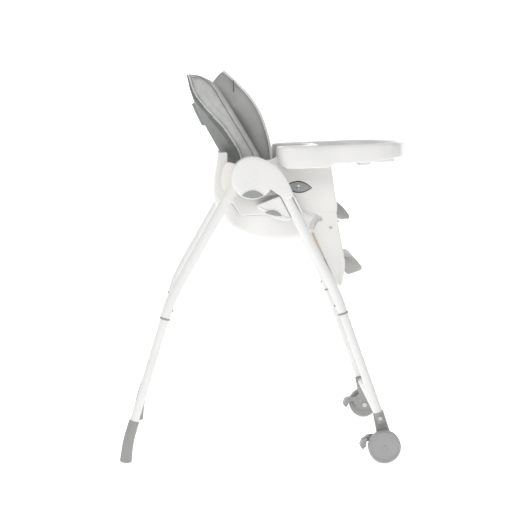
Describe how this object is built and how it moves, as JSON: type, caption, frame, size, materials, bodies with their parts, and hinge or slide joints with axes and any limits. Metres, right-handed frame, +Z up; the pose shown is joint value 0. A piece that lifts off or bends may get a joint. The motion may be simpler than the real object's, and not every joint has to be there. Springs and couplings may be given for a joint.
{
  "type": "folding baby high chair",
  "caption": "Folding baby high chair with splayed tube legs, front wheels, reclining padded seat, calf board with footrest and a removable tray.",
  "frame": {"origin": "middle of the bounding box's underside, on the floor", "axes": "+X toward the child's knees and the tray, +Y to the child's left, +Z up"},
  "size_m": [0.7974, 0.59, 1.062],
  "materials": {
    "white_tube": "satin white powder coat",
    "white_plastic": "soft gloss warm white",
    "pale_liner": "soft gloss pale grey",
    "olive_plastic": "matte olive grey",
    "slider_plastic": "satin off white",
    "grey_plastic": "matte mid grey",
    "grey_tyre": "matte grey soft tread",
    "button_grey": "satin grey",
    "dark_plastic": "matte dark grey",
    "steel": "zinc bright",
    "wing_fabric": "light grey woven cover",
    "insert_fabric": "mid grey soft pad",
    "webbing": "woven webbing"
  },
  "bodies": {
    "front_frame": {"front_leg_right": "white_tube", "front_leg_left": "white_tube", "hub_housing_right": "olive_plastic", "hub_housing_left": "olive_plastic", "hub_cover_right": "white_plastic", "hub_cover_left": "white_plastic", "hub_pins": "steel", "hub_screws": "steel", "front_tube_right": "white_tube", "front_tube_left": "white_tube", "wheel_housing_right": "grey_plastic", "wheel_housing_left": "grey_plastic", "front_collars": "dark_plastic", "front_crossbar": "white_tube", "crossbar_screws": "steel", "wheel_axles": "steel"},
    "rear_frame": {"rear_leg_right": "white_tube", "rear_leg_left": "white_tube", "rear_socket_right": "white_plastic", "rear_socket_left": "white_plastic", "rear_tube_right": "white_tube", "rear_tube_left": "white_tube", "rear_foot_right": "grey_plastic", "rear_foot_left": "grey_plastic", "rear_collars": "dark_plastic", "rear_crossbar": "white_tube"},
    "wheel_right": {"wheel_tyre_right": "grey_tyre", "wheel_cap_right": "grey_plastic"},
    "brake_right": {"brake_pedal_right": "grey_plastic"},
    "slider_right": {"slider_right": "slider_plastic"},
    "wheel_left": {"wheel_tyre_left": "grey_tyre", "wheel_cap_left": "grey_plastic"},
    "brake_left": {"brake_pedal_left": "grey_plastic"},
    "slider_left": {"slider_left": "slider_plastic"},
    "seat": {"seat_side_right": "white_plastic", "seat_side_left": "white_plastic", "seat_bowl": "white_plastic", "seat_floor": "white_plastic", "seat_pad": "wing_fabric", "seat_pins": "steel", "seat_straps": "webbing", "harness_buckle": "dark_plastic"},
    "backrest": {"back_shell": "dark_plastic", "back_cover": "wing_fabric", "insert_pad": "insert_fabric", "shoulder_straps": "webbing"},
    "fold_button_right": {"fold_button_right": "button_grey"},
    "height_button_right": {"height_button_right": "button_grey"},
    "seat_button_right": {"seat_button_right": "button_grey"},
    "fold_button_left": {"fold_button_left": "button_grey"},
    "height_button_left": {"height_button_left": "button_grey"},
    "seat_button_left": {"seat_button_left": "button_grey"},
    "front_snaps": {"front_snaps": "steel"},
    "rear_snaps": {"rear_snaps": "steel"},
    "calf_rest": {"calf_rest": "white_plastic"},
    "footrest": {"footrest": "grey_plastic"},
    "tray": {"tray": "white_plastic"},
    "tray_liner": {"tray_liner": "pale_liner"},
    "tray_lever": {"tray_lever": "button_grey"},
    "recline_handle": {"recline_handle": "dark_plastic"}
  },
  "joints": [
    {"name": "fold", "type": "hinge", "parent": "front_frame", "child": "rear_frame", "pos_m": [-0.04, 0, 0.769], "axis": [0, -1, 0], "range_deg": [0, 40]},
    {"name": "seat_height_right", "type": "slide", "parent": "front_frame", "child": "slider_right", "axis": [0.4596, 0, -0.8881], "range_m": [0, 0.18]},
    {"name": "seat_height_left", "type": "slide", "parent": "front_frame", "child": "slider_left", "axis": [0.4596, 0, -0.8881], "range_m": [0, 0.18]},
    {"name": "seat_lift", "type": "slide", "parent": "slider_right", "child": "seat", "axis": [0, 0, 1], "range_m": [0, 0.09]},
    {"name": "recline", "type": "hinge", "parent": "seat", "child": "backrest", "pos_m": [-0.078, 0, 0.716], "axis": [0, 1, 0], "range_deg": [-4, 12]},
    {"name": "calf_tilt", "type": "hinge", "parent": "seat", "child": "calf_rest", "pos_m": [0.175, 0, 0.633], "axis": [0, -1, 0], "range_deg": [0, 28]},
    {"name": "footrest_height", "type": "slide", "parent": "calf_rest", "child": "footrest", "axis": [-0.1851, 0, 0.9827], "range_m": [0, 0.065]},
    {"name": "tray_out", "type": "slide", "parent": "seat", "child": "tray", "axis": [0.9993, 0, 0.0384], "range_m": [0, 0.2]},
    {"name": "liner_lift", "type": "slide", "parent": "tray", "child": "tray_liner", "axis": [-0.0384, 0, 0.9993], "range_m": [0, 0.06]},
    {"name": "tray_lever_pull", "type": "slide", "parent": "tray", "child": "tray_lever", "axis": [0.9993, 0, 0.0384], "range_m": [0, 0.008], "stiffness_N_per_m": 1200, "springref_m": -0.002},
    {"name": "recline_pull", "type": "slide", "parent": "backrest", "child": "recline_handle", "axis": [-0.4161, 0, 0.9093], "range_m": [0, 0.008], "stiffness_N_per_m": 1200, "springref_m": -0.002},
    {"name": "wheel_spin_right", "type": "hinge", "parent": "front_frame", "child": "wheel_right", "pos_m": [0.318, -0.281, 0.044], "axis": [0, 1, 0], "continuous": true},
    {"name": "brake_right", "type": "hinge", "parent": "front_frame", "child": "brake_right", "pos_m": [0.277, -0.257, 0.062], "axis": [0, -1, 0], "range_deg": [0, 10]},
    {"name": "fold_press_right", "type": "slide", "parent": "front_frame", "child": "fold_button_right", "axis": [0, 1, 0], "range_m": [0, 0.0035], "stiffness_N_per_m": 1200, "springref_m": -0.002},
    {"name": "height_press_right", "type": "slide", "parent": "slider_right", "child": "height_button_right", "axis": [0, 1, 0], "range_m": [0, 0.004], "stiffness_N_per_m": 1200, "springref_m": -0.002},
    {"name": "seat_press_right", "type": "slide", "parent": "seat", "child": "seat_button_right", "axis": [0, 1, 0], "range_m": [0, 0.0025], "stiffness_N_per_m": 1200, "springref_m": -0.002},
    {"name": "wheel_spin_left", "type": "hinge", "parent": "front_frame", "child": "wheel_left", "pos_m": [0.318, 0.281, 0.044], "axis": [0, 1, 0], "continuous": true},
    {"name": "brake_left", "type": "hinge", "parent": "front_frame", "child": "brake_left", "pos_m": [0.277, 0.257, 0.062], "axis": [0, -1, 0], "range_deg": [0, 10]},
    {"name": "fold_press_left", "type": "slide", "parent": "front_frame", "child": "fold_button_left", "axis": [0, -1, 0], "range_m": [0, 0.0035], "stiffness_N_per_m": 1200, "springref_m": -0.002},
    {"name": "height_press_left", "type": "slide", "parent": "slider_left", "child": "height_button_left", "axis": [0, -1, 0], "range_m": [0, 0.004], "stiffness_N_per_m": 1200, "springref_m": -0.002},
    {"name": "seat_press_left", "type": "slide", "parent": "seat", "child": "seat_button_left", "axis": [0, -1, 0], "range_m": [0, 0.0025], "stiffness_N_per_m": 1200, "springref_m": -0.002},
    {"name": "front_snap_press", "type": "slide", "parent": "front_frame", "child": "front_snaps", "axis": [0.9416, 0, 0.3368], "range_m": [0, 0.003], "stiffness_N_per_m": 1200, "springref_m": -0.002},
    {"name": "rear_snap_press", "type": "slide", "parent": "rear_frame", "child": "rear_snaps", "axis": [-0.9568, 0, 0.2908], "range_m": [0, 0.003], "stiffness_N_per_m": 1200, "springref_m": -0.002}
  ],
  "couplings": [
    {"joint": "seat_height_left", "follows": "seat_height_right", "ratio": 1}
  ]
}
